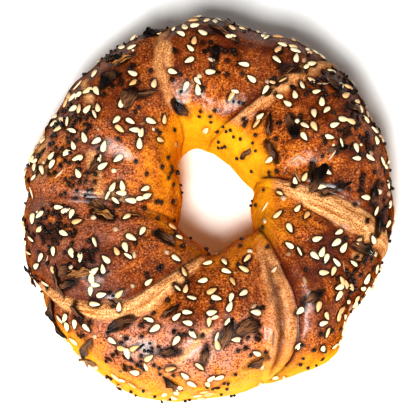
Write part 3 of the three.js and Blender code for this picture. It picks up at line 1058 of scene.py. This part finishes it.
def egg_crust_material(settings):
    """Egg-washed bread crust. The wash is a thin gloss over brown, which is mottled at the grain of the
    dough, with a painted highlight on the grain's flecks and painted shade in its hollows, in the folds'
    creases and round the topping, and a painted sheen on some sides. Where the crust tore open late it is
    matt, tan and full of pores."""
    material, tree, shader = new_material("Egg-washed crust")
    place = add_node(tree, "ShaderNodeTexCoord", {}, "Object")
    bake, strip, crease, stain, edge, wash, bloom = (
        add_node(tree, "ShaderNodeAttribute", {}, "Fac", attribute_name=name)
        for name in ("bake", "strip", "crease", "stain", "edge", "wash", "bloom")
    )

    # The grain comes from bubbles just under the skin, and the strands from dough that was pulled along.
    grain = {"Vector": place, "Scale": 1 / (0.55 * MM), "Detail": 2.0, "Roughness": 0.6}
    grain = add_node(tree, "ShaderNodeTexNoise", grain)
    strands = add_node(tree, "ShaderNodeTexCoord", {}, "UV")
    strands = add_node(tree, "ShaderNodeMapping", {"Vector": strands, "Scale": STRANDS})
    strands = add_node(tree, "ShaderNodeTexNoise", {"Vector": strands, "Scale": 1.0, "Detail": 4.0})

    # The palest crust and the darkest are smooth, and the rest is grained.
    grained = {"Value": bake, "From Min": 0.12, "From Max": 0.5, "To Min": 0.18}
    grained = add_node(tree, "ShaderNodeMapRange", grained)
    smoothed = {"Value": bake, "From Min": 0.72, "From Max": 0.95, "To Min": 1.0, "To Max": 0.25}
    smoothed = add_node(tree, "ShaderNodeMapRange", smoothed)
    grained = add_node(tree, "ShaderNodeMath", {0: grained, 1: smoothed}, operation="MULTIPLY")

    # Brown follows the bake. Waves in the dough, the strands and the grain move it about.
    dough = add_node(tree, "ShaderNodeTexNoise", {"Vector": place, "Scale": 1 / (3.5 * MM), "Detail": 2.0})
    dough = add_node(tree, "ShaderNodeMath", {0: dough, 1: 0.5}, operation="SUBTRACT")
    moved = add_node(tree, "ShaderNodeMath", {0: strands, 1: 1.6, 2: dough}, operation="MULTIPLY_ADD")
    moved = add_node(tree, "ShaderNodeMath", {0: grain, 1: -0.6, 2: moved}, operation="MULTIPLY_ADD")
    moved = add_node(tree, "ShaderNodeMath", {0: moved, 1: 0.5}, operation="SUBTRACT")
    moved = add_node(tree, "ShaderNodeMath", {0: moved, 1: grained}, operation="MULTIPLY")
    browned = add_node(tree, "ShaderNodeMath", {0: moved, 1: 0.6, 2: bake}, operation="MULTIPLY_ADD")
    colour = add_node(tree, "ShaderNodeValToRGB", {"Fac": browned})
    stops = (
        (0.03, settings.yolk),
        (0.24, settings.gold),
        (0.43, settings.amber),
        (0.64, settings.brown),
        (1.0, settings.dark),
    )
    ramp = colour.node.color_ramp
    for _ in stops[2:]:
        ramp.elements.new(0.5)
    for element, (position, stop) in zip(ramp.elements, stops):
        element.position = position
        element.color = (*stop, 1)

    # A painted sheen, the pinkish gloss of the soft light on the wash, lies on some sides of the crust, in
    # specks and patches.
    specks = add_node(tree, "ShaderNodeMath", {0: grain, 1: 1.2, 2: dough}, operation="MULTIPLY_ADD")
    sheened = {"Value": specks, "From Min": 0.35, "From Max": 0.8, "To Max": 0.6}
    sheened = add_node(tree, "ShaderNodeMapRange", sheened)
    sheened = add_node(tree, "ShaderNodeMath", {0: bloom, 1: sheened}, operation="MULTIPLY")
    sheened = {0: sheened, 6: colour, 7: (*settings.bloom, 1)}
    colour = add_node(tree, "ShaderNodeMix", sheened, 2, data_type="RGBA")

    # The grain has light flecks and dark hollows: partly its own tone, partly a painted highlight where it
    # stands up and painted shade where it lies low.
    for colour_there, starts_at, turns_at, most in (
        (settings.fleck_and_highlight, 0.55, 0.68, 0.7),
        (settings.hollow_and_shade, 0.48, 0.35, 0.8),
    ):
        share = {"Value": grain, "From Min": starts_at, "From Max": turns_at, "To Max": most}
        share = add_node(tree, "ShaderNodeMapRange", share)
        share = add_node(tree, "ShaderNodeMath", {0: share, 1: grained}, operation="MULTIPLY")
        mixed = {0: share, 6: colour, 7: (*colour_there, 1)}
        colour = add_node(tree, "ShaderNodeMix", mixed, 2, data_type="RGBA")

    # The stretched strips are tan, streaked along the fold, with fine pores between their strands. The
    # dough's waves fray their edges, and where the crust is pale they don't show.
    streaks = add_node(tree, "ShaderNodeMapRange", {"Value": strands, "From Min": 0.32, "From Max": 0.6})
    streaked = {0: streaks, 6: (*settings.baked, 1), 7: (*settings.stretched, 1)}
    tan = add_node(tree, "ShaderNodeMix", streaked, 2, data_type="RGBA")
    pores = {"Vector": place, "Scale": 1 / (0.5 * MM), "Detail": 2.0, "Roughness": 0.7}
    pores = add_node(tree, "ShaderNodeTexNoise", pores)
    pores = add_node(tree, "ShaderNodeMath", {0: strands, 1: 0.4, 2: pores}, operation="MULTIPLY_ADD")
    pores = add_node(tree, "ShaderNodeMapRange", {"Value": pores, "From Min": 0.53, "From Max": 0.75})
    tan = add_node(tree, "ShaderNodeMix", {0: pores, 6: (*settings.pits, 1), 7: tan}, 2, data_type="RGBA")
    ragged = add_node(tree, "ShaderNodeMath", {0: strands, 1: dough}, operation="ADD")
    ragged = add_node(tree, "ShaderNodeMath", {0: strip, 1: ragged}, operation="SUBTRACT")
    torn = add_node(tree, "ShaderNodeMapRange", {"Value": ragged, "From Min": -0.3, "From Max": 0.35})
    opened = add_node(tree, "ShaderNodeMapRange", {"Value": bake, "From Min": 0.1, "From Max": 0.45})
    torn = add_node(tree, "ShaderNodeMath", {0: torn, 1: opened}, operation="MULTIPLY")
    colour = add_node(tree, "ShaderNodeMix", {0: torn, 6: colour, 7: tan}, 2, data_type="RGBA")
    # Painted shade darkens the folds' creases and grooves, and the crust beside a strip's overlapped edge.
    crease_shaded = {0: crease, 6: colour, 7: (*settings.crease, 1)}
    colour = add_node(tree, "ShaderNodeMix", crease_shaded, 2, data_type="RGBA")

    # Clusters of onion, crumbs and poppy stain the crust, and painted shade, a contact shadow, darkens the
    # crust round each piece of topping.
    stained = add_node(tree, "ShaderNodeMath", {0: dough, 1: 1.0, 2: stain}, operation="MULTIPLY_ADD")
    stained = {"Value": stained, "From Min": 0.15, "From Max": 0.8, "To Max": 0.85}
    stained = add_node(tree, "ShaderNodeMapRange", stained)
    contact_shaded = {"Value": bake, "From Max": 0.4, "To Min": 0.15, "To Max": 0.95}
    contact_shaded = add_node(tree, "ShaderNodeMapRange", contact_shaded)
    contact_shaded = add_node(tree, "ShaderNodeMath", {0: edge, 1: contact_shaded}, operation="MULTIPLY")
    dark = add_node(tree, "ShaderNodeMath", {0: stained, 1: contact_shaded}, operation="MAXIMUM")
    darkened = {0: dark, 6: colour, 7: (*settings.stain, 1)}
    colour = add_node(tree, "ShaderNodeMix", darkened, 2, data_type="RGBA")
    tree.links.new(colour, shader.inputs["Base Color"])

    # The dough is matt. The wash over it is on the crest alone, and none is left where the crust tore.
    shader.inputs["Roughness"].default_value = 0.6
    shader.inputs["Specular IOR Level"].default_value = 0.0
    glossy = add_node(
        tree, "ShaderNodeMath", {0: wash, 1: torn}, operation="SUBTRACT", use_clamp=True
    )
    glossy = add_node(tree, "ShaderNodeMath", {0: glossy, 1: 0.75}, operation="MULTIPLY")
    tree.links.new(glossy, shader.inputs["Coat Weight"])
    shader.inputs["Coat Roughness"].default_value = 0.33

    # The grain roughens the crust, and where it tore the pores do too. The wash fills most of this.
    relief = add_node(tree, "ShaderNodeMath", {0: pores, 1: torn, 2: grain}, operation="MULTIPLY_ADD")
    for socket, depth in (("Normal", 0.28), ("Coat Normal", 0.08)):
        bump = add_node(tree, "ShaderNodeBump", {"Height": relief, "Strength": 0.8, "Distance": depth * MM})
        tree.links.new(bump, shader.inputs[socket])
    return material


MERGE_WITHIN = 0.001 * MM  # corners nearer than this are one


class BAGEL_OT_crust(bpy.types.Operator):
    """Winds the rope of dough into its ring and bakes it"""

    bl_idname = "bagel.crust"
    bl_label = "Crust"

    def execute(self, context):
        settings = context.scene.bagel_crust
        bpy.ops.object.select_all(action="DESELECT")
        bpy.ops.mesh.primitive_grid_add(
            x_subdivisions=COLUMNS * settings.fineness, y_subdivisions=settings.rows, size=1
        )
        crust = context.object
        mesh = crust.data
        column, girth = crust_columns_and_girths(crust)
        wrap = column_wrap(column, girth)
        mesh.vertices.foreach_set("co", (crust_at(wrap, girth) * MM).ravel())
        strip, crease = strip_and_crease_shade(wrap, girth)
        set_attribute(mesh, "strip", strip)
        set_attribute(mesh, "crease", crease)
        set_attribute(mesh, "girth", girth)

        select_only(crust)
        bpy.ops.object.mode_set(mode="EDIT")
        bpy.ops.mesh.select_all(action="SELECT")
        bpy.ops.mesh.remove_doubles(threshold=MERGE_WITHIN)
        bpy.ops.mesh.normals_make_consistent(inside=False)
        bpy.ops.object.mode_set(mode="OBJECT")
        bpy.ops.object.shade_smooth()
        roughen(mesh, settings.blister)

        points, normals = mesh_points(mesh)
        girth = get_attribute(mesh, "girth")
        set_attribute(mesh, "bake", bake_share(points, girth))
        set_attribute(mesh, "bloom", painted_sheen_share(points, girth))
        set_attribute(mesh, "wash", smooth(normals[:, 2], *WASH_EDGE))
        # Painted contact shadow round each piece of topping.
        set_attribute(mesh, "edge", contact_shade_share(points))
        set_attribute(mesh, "stain", stain_share(points))
        strip = np.maximum(get_attribute(mesh, "strip"), stretch_share(points))
        mesh.attributes["strip"].data.foreach_set("value", strip.astype(np.float32))
        finish_piece(crust, "crust", egg_crust_material(settings))
        return {"FINISHED"}


# ---- The topping ----


# How far round the rope and round the ring the crust's slope is taken from.
SEAT_GIRTHS = np.array([-0.8, 0.8, 0, 0, 0])
SEAT_COLUMNS = np.array([0, 0, -0.2, 0.2, 0])


@cache
def seat(place, lift=0):
    """The matrix that lays a piece of topping on the crust, its flat side down and turned to its heading.
    Its middle is lifted off the crust, or sunk into it."""
    girths = place.girth + SEAT_GIRTHS
    columns = place.column + SEAT_COLUMNS
    points = crust_at(column_wrap(columns, girths), girths)
    normal = Vector(np.cross(points[1] - points[0], points[3] - points[2])).normalized()
    turned = Vector((0, 0, 1)).rotation_difference(normal)
    turned = turned @ Quaternion((0, 0, 1), math.radians(place.heading))
    centre = Vector(points[4]) + normal * lift * place.size
    scale = Matrix.Scale(place.size * MM, 4)
    return Matrix.Translation(centre * MM) @ turned.to_matrix().to_4x4() @ scale


def lay_copies(topping, places, patterns, plain=0):
    """Lays a copy of a pattern at every place, each with its own lot, and joins them into one piece. The
    patterns take turns, but the first places, as many as are plain, all get the first one."""
    lift = topping.thickness * (0.5 - topping.sunk)
    copies = []
    for i, place in enumerate(places):
        kind = 0 if i < plain else i % len(patterns)
        mesh = patterns[kind].data.copy()
        set_attribute(mesh, "lot", np.full(len(mesh.vertices), place.lot))
        mesh.transform(seat(place, lift))
        copy = bpy.data.objects.new("copy", mesh)
        bpy.context.scene.collection.objects.link(copy)
        copies.append(copy)
    for pattern in patterns:
        bpy.data.objects.remove(pattern)
    select_only(*copies)
    bpy.ops.object.join()
    bpy.ops.object.shade_smooth()
    return copies[0]


def shape_corners(piece, shape):
    """Moves every corner of a piece by a rule from its old place to its new one."""
    for corner in piece.data.vertices:
        corner.co = shape(corner.co.copy())


SESAME_ROLLS = (0, 35, 0, -60, 0, -20)  # degrees that seeds lie rolled over about their length
SEED_BLUNT = 1.15  # the width of a sesame seed's two ends, beside a plain oval's
SEED_TIP = 0.45
SEED_TAPER = 1.3  # over 1 keeps it wide for longer
SEED_FLAT = 0.8  # the depth of its flat side, beside its domed one's


def sesame_pattern(topping, roll):
    """A sesame seed, blunt at one end, rolled over from its flat side."""
    bpy.ops.object.select_all(action="DESELECT")
    bpy.ops.mesh.primitive_uv_sphere_add(segments=8, ring_count=6, radius=1)
    seed = bpy.context.object

    def shape(at):
        slim = blend(SEED_BLUNT, SEED_TIP, ((at.z + 1) / 2) ** SEED_TAPER)
        domed = at.y * (1.0 if at.y > 0 else SEED_FLAT)
        lain = Vector((at.z * topping.length, at.x * slim * topping.width, domed * topping.thickness)) / 2
        return Matrix.Rotation(math.radians(roll), 3, "X") @ lain

    shape_corners(seed, shape)
    return seed


def sesame_material(settings):
    """Hulled sesame: cream, faintly waxy, browned on the ones that stood proud."""
    material, tree, shader = new_material("Hulled sesame")
    lot = add_node(tree, "ShaderNodeAttribute", {}, "Fac", attribute_name="lot")
    toasted = add_node(tree, "ShaderNodeMapRange", {"Value": lot, "From Min": 0.6, "From Max": 1.0})
    hull = {0: toasted, 6: (*settings.sesame, 1), 7: (*settings.toasted, 1)}
    tree.links.new(add_node(tree, "ShaderNodeMix", hull, 2, data_type="RGBA"), shader.inputs["Base Color"])
    shader.inputs["Roughness"].default_value = 0.42
    shader.inputs["IOR"].default_value = 1.47
    return material


class BAGEL_OT_sesame(bpy.types.Operator):
    """Lays the sesame seeds on the crust"""

    bl_idname = "bagel.sesame"
    bl_label = "Sesame"

    def execute(self, context):
        places = topping_places()["sesame"]
        patterns = [sesame_pattern(CAD_SESAME, roll) for roll in SESAME_ROLLS]
        piece = lay_copies(CAD_SESAME, places, patterns, plain=CAD_SESAME.count)
        finish_piece(piece, "sesame", sesame_material(context.scene.bagel_topping))
        return {"FINISHED"}


DENT_DEPTH = 0.18  # of the dent in a poppy seed's side, and its size, beside half the seed's
DENT_SIZE = 0.5


def poppy_pattern(topping):
    """A poppy seed, slightly kidney-shaped."""
    bpy.ops.object.select_all(action="DESELECT")
    bpy.ops.mesh.primitive_uv_sphere_add(segments=7, ring_count=5, radius=1)
    seed = bpy.context.object

    def shape(at):
        dent = DENT_DEPTH * math.exp(-((at.x**2 + (at.y - 1) ** 2) / DENT_SIZE**2))
        return Vector((at.x * topping.length, (at.y - dent) * topping.width, at.z * topping.thickness)) / 2

    shape_corners(seed, shape)
    return seed


def poppy_material(settings):
    """Poppy seed: blue-black and matt."""
    material, _, shader = new_material("Poppy seed")
    shader.inputs["Base Color"].default_value = (*settings.poppy, 1)
    shader.inputs["Roughness"].default_value = 0.5
    return material


class BAGEL_OT_poppy(bpy.types.Operator):
    """Lays the poppy seeds on the crust"""

    bl_idname = "bagel.poppy"
    bl_label = "Poppy"

    def execute(self, context):
        piece = lay_copies(POPPY, topping_places()["poppy"], [poppy_pattern(POPPY)])
        finish_piece(piece, "poppy", poppy_material(context.scene.bagel_topping))
        return {"FINISHED"}


class Curl(NamedTuple):
    """How one dried onion flake is shaped, beside its usual size."""

    length: float
    width: float
    roll: float  # degrees that its edges are rolled up through
    bend: float  # degrees that it is bent through along its length
    twist: float


CURLS = (
    Curl(1.2, 0.9, 110, 30, 30),
    Curl(0.8, 1.3, 70, 20, -40),
    Curl(1.5, 0.6, 200, 50, 60),
    Curl(1.0, 1.1, 60, -20, 20),
    Curl(0.7, 0.8, 120, 40, 0),
    Curl(1.3, 1.1, 90, 25, -20),
    Curl(0.8, 0.6, 150, 60, 50),
)


FLAKE_THICKNESS = 0.28
FLAKE_ROUND = 0.9  # how much of the ends' corners is rounded off
FLAKE_TORN = 0.9  # how far its torn sides change its width
FLAKE_SWAY = 0.7  # how far they lead it sideways
FLAKE_RAGGED = 0.25  # how far its ends and face are ragged
FLAKE_RIBS = 0.45  # the height of its ribs
FLAKE_BOW = 0.15  # how much shorter it is along its sides


def onion_pattern(topping, kind):
    """A dried onion flake: a torn scrap of skin, ribbed along its length, rolled up, bent and twisted."""
    bpy.ops.object.select_all(action="DESELECT")
    bpy.ops.mesh.primitive_grid_add(x_subdivisions=12, y_subdivisions=7, size=2)
    flake = bpy.context.object
    curl = CURLS[kind]
    half_length = curl.length * topping.length / 2
    half_width = curl.width * topping.width / 2
    roll_radius = half_width / math.radians(curl.roll / 2)

    def shape(at):
        torn = noise.noise(Vector((at.x * 1.7, at.y * 0.6, kind * 5.0)))
        ragged = noise.noise(Vector((at.x * 4.5, at.y * 4.5, kind * 3.0 + 1)))
        ribs = noise.noise(Vector((at.x * 0.8, at.y * 5.0, kind * 4.0 + 2)))
        rounded = (1 - FLAKE_ROUND * abs(at.x) ** 3) ** 0.5
        across = at.y * half_width * rounded * (1 + FLAKE_TORN * torn)
        along = at.x * half_length * (1 + FLAKE_RAGGED * ragged) * (1 - FLAKE_BOW * at.y**2)
        angle = across / roll_radius
        side = roll_radius * math.sin(angle)
        rise = roll_radius * (1 - math.cos(angle)) + FLAKE_RAGGED * ragged + FLAKE_RIBS * ribs
        turned = Matrix.Rotation(math.radians(curl.twist) * at.x / 2, 3, "X") @ Vector((0, side, rise))
        dip = half_length * math.radians(curl.bend) / 4 * at.x**2
        return Vector((along, turned.y + FLAKE_SWAY * torn, turned.z - dip))

    shape_corners(flake, shape)
    select_only(flake)
    solidify = flake.modifiers.new("Thickness", "SOLIDIFY")
    solidify.thickness = FLAKE_THICKNESS
    solidify.offset = 0
    bpy.ops.object.modifier_apply(modifier=solidify.name)
    return flake


def onion_material(settings):
    """Dried onion, baked hard: brown skin with dark veins along it, burnt black at one end, and tan where
    it stayed dry. A little oil gives it a low gloss."""
    material, tree, shader = new_material("Baked onion flake")
    lot = add_node(tree, "ShaderNodeAttribute", {}, "Fac", attribute_name="lot")
    along = add_node(tree, "ShaderNodeTexCoord", {}, "UV")
    veins = add_node(tree, "ShaderNodeMapping", {"Vector": along, "Scale": (2.5, 11, 1)})
    veins = {"Vector": veins, "Scale": 1.0, "Detail": 2.0, "W": lot}
    veins = add_node(tree, "ShaderNodeTexNoise", veins, noise_dimensions="4D")
    veined = add_node(tree, "ShaderNodeMapRange", {"Value": veins, "From Min": 0.38, "From Max": 0.6})
    dry = add_node(tree, "ShaderNodeMapRange", {"Value": lot, "From Min": 0.8, "From Max": 0.92})
    skin = {0: dry, 6: (*settings.onion, 1), 7: (*settings.dry_onion, 1)}
    colour = add_node(tree, "ShaderNodeMix", skin, 2, data_type="RGBA")
    skin = {0: veined, 6: (*settings.ribs, 1), 7: colour}
    colour = add_node(tree, "ShaderNodeMix", skin, 2, data_type="RGBA")

    # One end is burnt, and some flakes are burnt all over.
    end = add_node(tree, "ShaderNodeSeparateXYZ", {"Vector": along}, "X")
    end = add_node(tree, "ShaderNodeMath", {0: veins, 1: 1.2, 2: end}, operation="MULTIPLY_ADD")
    end = add_node(tree, "ShaderNodeMath", {0: lot, 1: -0.9, 2: end}, operation="MULTIPLY_ADD")
    burnt = add_node(tree, "ShaderNodeMapRange", {"Value": end, "From Min": 0.6, "From Max": 1.0})
    skin = {0: burnt, 6: colour, 7: (*settings.burnt, 1)}
    tree.links.new(add_node(tree, "ShaderNodeMix", skin, 2, data_type="RGBA"), shader.inputs["Base Color"])
    bump = {"Height": veins, "Strength": 0.7, "Distance": 0.4 * MM}
    tree.links.new(add_node(tree, "ShaderNodeBump", bump), shader.inputs["Normal"])
    shader.inputs["Roughness"].default_value = 0.42
    shader.inputs["Specular IOR Level"].default_value = 0.2
    return material


class BAGEL_OT_onion(bpy.types.Operator):
    """Lays the dried onion flakes on the crust"""

    bl_idname = "bagel.onion"
    bl_label = "Onion"

    def execute(self, context):
        patterns = [onion_pattern(CAD_ONION, kind) for kind in range(len(CURLS))]
        piece = lay_copies(CAD_ONION, topping_places()["onion"], patterns)
        finish_piece(piece, "onion", onion_material(context.scene.bagel_topping))
        return {"FINISHED"}


# The shapes of the granules, as shares of their usual length, width and thickness.
GARLIC_SHAPES = ((1, 1, 1), (0.8, 1.1, 0.9), (1.2, 0.8, 0.8), (0.5, 0.6, 0.8), (1.9, 0.4, 0.5))


CHIPPED = 0.45  # how far a crumb's or granule's face stands in and out
CHIP_WAVES = 1.4  # to half its size


def crumb_pattern(topping, shape_shares, kind, subdivisions):
    """A small broken lump, grain or sliver."""
    bpy.ops.object.select_all(action="DESELECT")
    bpy.ops.mesh.primitive_ico_sphere_add(subdivisions=subdivisions, radius=1)
    lump = bpy.context.object
    sizes = (topping.length, topping.width, topping.thickness)
    half = Vector([size * share / 2 for size, share in zip(sizes, shape_shares)])

    def shape(at):
        chipped = 1 + CHIPPED * noise.noise(at * CHIP_WAVES + Vector((kind * 7.0, 0, 0)))
        return Vector([a * b * chipped for a, b in zip(at, half)])

    shape_corners(lump, shape)
    return lump


def garlic_material(settings):
    """Dried garlic: rough, and anything from nearly white to brown."""
    material, tree, shader = new_material("Dried garlic")
    lot = add_node(tree, "ShaderNodeAttribute", {}, "Fac", attribute_name="lot")
    granule = {0: lot, 6: (*settings.garlic, 1), 7: (*settings.toasted_garlic, 1)}
    tree.links.new(add_node(tree, "ShaderNodeMix", granule, 2, data_type="RGBA"), shader.inputs["Base Color"])
    shader.inputs["Roughness"].default_value = 0.65
    return material


class BAGEL_OT_garlic(bpy.types.Operator):
    """Lays the dried garlic on the crust"""

    bl_idname = "bagel.garlic"
    bl_label = "Garlic"

    def execute(self, context):
        patterns = [crumb_pattern(GARLIC, shares, kind, 2) for kind, shares in enumerate(GARLIC_SHAPES)]
        piece = lay_copies(GARLIC, topping_places()["garlic"], patterns)
        finish_piece(piece, "garlic", garlic_material(context.scene.bagel_topping))
        return {"FINISHED"}


CRUMB_SHAPES = ((1, 1, 1), (1.6, 0.7, 0.8), (0.8, 1.0, 1.2), (2.2, 0.5, 0.6))


def crumb_material(settings):
    """Crumbs of onion, baked to brown and black. They are matt."""
    material, tree, shader = new_material("Burnt onion crumbs")
    lot = add_node(tree, "ShaderNodeAttribute", {}, "Fac", attribute_name="lot")
    charred = {0: lot, 6: (*settings.burnt, 1), 7: (*settings.crumb, 1)}
    tree.links.new(add_node(tree, "ShaderNodeMix", charred, 2, data_type="RGBA"), shader.inputs["Base Color"])
    shader.inputs["Roughness"].default_value = 0.55
    shader.inputs["Specular IOR Level"].default_value = 0.15
    return material


class BAGEL_OT_crumbs(bpy.types.Operator):
    """Lays the crumbs of burnt onion on the crust"""

    bl_idname = "bagel.crumbs"
    bl_label = "Crumbs"

    def execute(self, context):
        patterns = [crumb_pattern(CRUMB, shares, kind, 1) for kind, shares in enumerate(CRUMB_SHAPES)]
        piece = lay_copies(CRUMB, topping_places()["crumbs"], patterns)
        finish_piece(piece, "crumbs", crumb_material(context.scene.bagel_topping))
        return {"FINISHED"}


# ---- The stage ----


def aim(thing, at):
    """Turns a camera or lamp to look at a point."""
    thing.rotation_euler = (at - thing.location).to_track_quat("-Z", "Y").to_euler()


class Lamp(NamedTuple):
    """A square lamp, in metres and watts."""

    name: str
    place: tuple
    size: float
    power: float


LAMPS = (Lamp("key", (-0.15, -0.75, 1.15), 0.45, 31), Lamp("fill", (0.9, 0.5, 0.9), 1.2, 2.5))
TARGET = Vector((0.2, -1.4, 15)) * MM  # what the camera and the lamps look at
FLOOR_SIZE = 4
SKY_STRENGTH = 0.1
GAMMA = 0.86
EXPOSURE = 0.22
SENSOR_WIDTH = 36  # in millimetres, as a lens is


class BAGEL_OT_stage(bpy.types.Operator):
    """Sets the floor, the lights and the camera"""

    bl_idname = "bagel.stage"
    bl_label = "Stage"

    def execute(self, context):
        settings = context.scene.bagel_stage
        bpy.ops.object.select_all(action="DESELECT")
        bpy.ops.mesh.primitive_plane_add(size=FLOOR_SIZE)
        floor = context.object
        floor.name = "floor"
        material, _, shader = new_material("Studio floor")
        shader.inputs["Base Color"].default_value = (*settings.floor, 1)
        shader.inputs["Roughness"].default_value = 0.9
        floor.data.materials.append(material)

        for lamp in LAMPS:
            bpy.ops.object.light_add(type="AREA", location=lamp.place)
            light = context.object
            light.name = lamp.name
            light.data.size = lamp.size
            light.data.energy = lamp.power
            aim(light, TARGET)
        world = bpy.data.worlds.new("studio")
        world.use_nodes = True
        sky = world.node_tree.nodes["Background"]
        sky.inputs["Color"].default_value = (1, 1, 1, 1)
        sky.inputs["Strength"].default_value = SKY_STRENGTH
        context.scene.world = world
        context.scene.view_settings.view_transform = "Standard"
        context.scene.view_settings.gamma = GAMMA
        context.scene.view_settings.exposure = EXPOSURE

        back = Vector((0, -math.cos(settings.elevation), math.sin(settings.elevation)))
        bpy.ops.object.camera_add(location=TARGET + settings.distance * back)
        camera = context.object
        aim(camera, TARGET)
        camera.data.sensor_width = SENSOR_WIDTH
        camera.data.lens = SENSOR_WIDTH * settings.distance / settings.view_width
        context.scene.camera = camera
        return {"FINISHED"}


# ---- The add-on ----

OPERATORS = (
    BAGEL_OT_crust,
    BAGEL_OT_sesame,
    BAGEL_OT_onion,
    BAGEL_OT_garlic,
    BAGEL_OT_poppy,
    BAGEL_OT_crumbs,
    BAGEL_OT_stage,
)
SETTINGS = {
    "bagel_crust": BagelCrustSettings,
    "bagel_topping": BagelToppingSettings,
    "bagel_stage": BagelStageSettings,
}


class BAGEL_PT_main(bpy.types.Panel):
    """The bagel's pieces and settings."""

    bl_idname = "BAGEL_PT_main"
    bl_label = "Everything Bagel"
    bl_space_type = "VIEW_3D"
    bl_region_type = "UI"
    bl_category = "Bagel"

    def draw(self, context):
        for operator in OPERATORS:
            self.layout.operator(operator.bl_idname)
        for name in SETTINGS:
            group = getattr(context.scene, name)
            box = self.layout.box()
            for setting in group.bl_rna.properties:
                if not setting.is_readonly and setting.identifier != "name":
                    box.prop(group, setting.identifier)


def register():
    for kind in (*SETTINGS.values(), *OPERATORS, BAGEL_PT_main):
        bpy.utils.register_class(kind)
    for name, group in SETTINGS.items():
        setattr(bpy.types.Scene, name, bpy.props.PointerProperty(type=group))


def unregister():
    for name in SETTINGS:
        delattr(bpy.types.Scene, name)
    for kind in reversed((*SETTINGS.values(), *OPERATORS, BAGEL_PT_main)):
        bpy.utils.unregister_class(kind)


def main():
    """Makes every piece and the stage."""
    register()
    bpy.ops.bagel.crust()
    bpy.ops.bagel.sesame()
    bpy.ops.bagel.onion()
    bpy.ops.bagel.garlic()
    bpy.ops.bagel.poppy()
    bpy.ops.bagel.crumbs()
    bpy.ops.bagel.stage()


if __name__ == "__main__":
    main()
